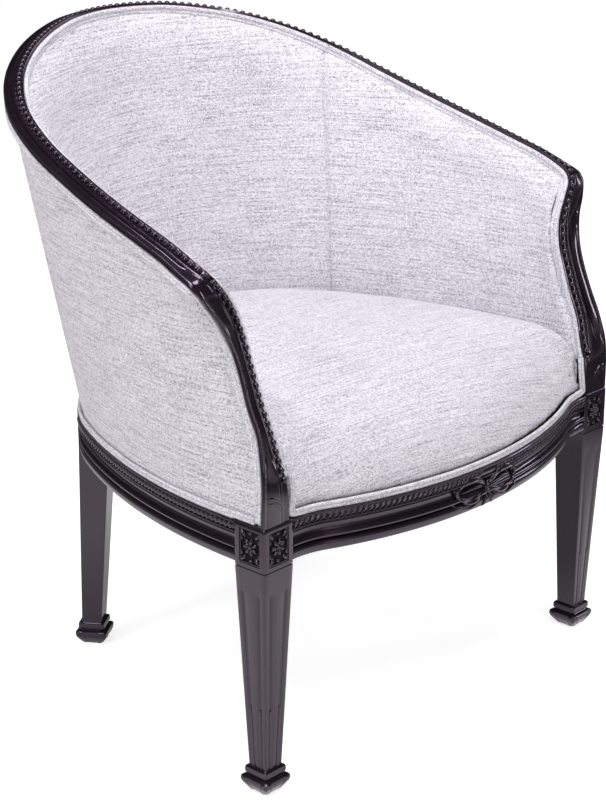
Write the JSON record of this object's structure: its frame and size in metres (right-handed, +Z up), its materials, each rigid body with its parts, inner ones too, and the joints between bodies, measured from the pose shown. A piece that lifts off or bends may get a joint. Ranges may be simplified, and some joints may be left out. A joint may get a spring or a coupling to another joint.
{
  "type": "tub chair",
  "caption": "Upholstered tub chair with a moulded ebonised show-wood frame, serpentine seat rail, fluted tapered front legs and a wrap-around back",
  "frame": {"origin": "on the floor, under the middle of the chair's bounding box", "axes": "+Z up, front of the chair faces -Y, +X to the right as seen from the front"},
  "size_m": [0.6908, 0.652, 0.791],
  "materials": {
    "ebonised_wood": "ebonised, satin lacquer",
    "beech": "planed, unfinished",
    "tweed": "slub tweed, pale grey with darker streaks",
    "foam": "cut upholstery foam",
    "jute": "woven jute",
    "cambric": "black woven dust cloth",
    "screw_steel": "plain steel"
  },
  "bodies": {
    "root": {"front_leg_left": "ebonised_wood", "front_leg_right": "ebonised_wood", "rear_leg_left": "ebonised_wood", "rear_leg_right": "ebonised_wood", "front_rail": "ebonised_wood", "side_rail_left": "ebonised_wood", "side_rail_right": "ebonised_wood", "back_rail": "ebonised_wood", "arm_post_left": "ebonised_wood", "arm_post_right": "ebonised_wood", "arm_rail_left": "ebonised_wood", "arm_rail_right": "ebonised_wood", "crest_rail": "ebonised_wood", "back_uprights": "beech", "arm_uprights": "beech", "tack_rail_back": "beech", "tack_rail_left": "beech", "tack_rail_right": "beech", "corner_blocks": "beech", "corner_screws": "screw_steel", "rail_dowels": "beech", "post_dowels": "beech", "seat_webbing_long": "jute", "seat_webbing_cross": "jute", "seat_foam": "foam", "seat_cover": "tweed", "inside_lining": "jute", "back_pad": "foam", "arm_pad_left": "foam", "arm_pad_right": "foam", "inside_back_cover": "tweed", "inside_arm_cover_left": "tweed", "inside_arm_cover_right": "tweed", "outside_back_cover": "tweed", "outside_arm_cover_left": "tweed", "outside_arm_cover_right": "tweed", "inside_welt": "tweed", "seat_welt": "tweed", "outside_welt_top": "tweed", "outside_welt_base": "tweed", "dust_cover": "cambric"}
  },
  "joints": []
}
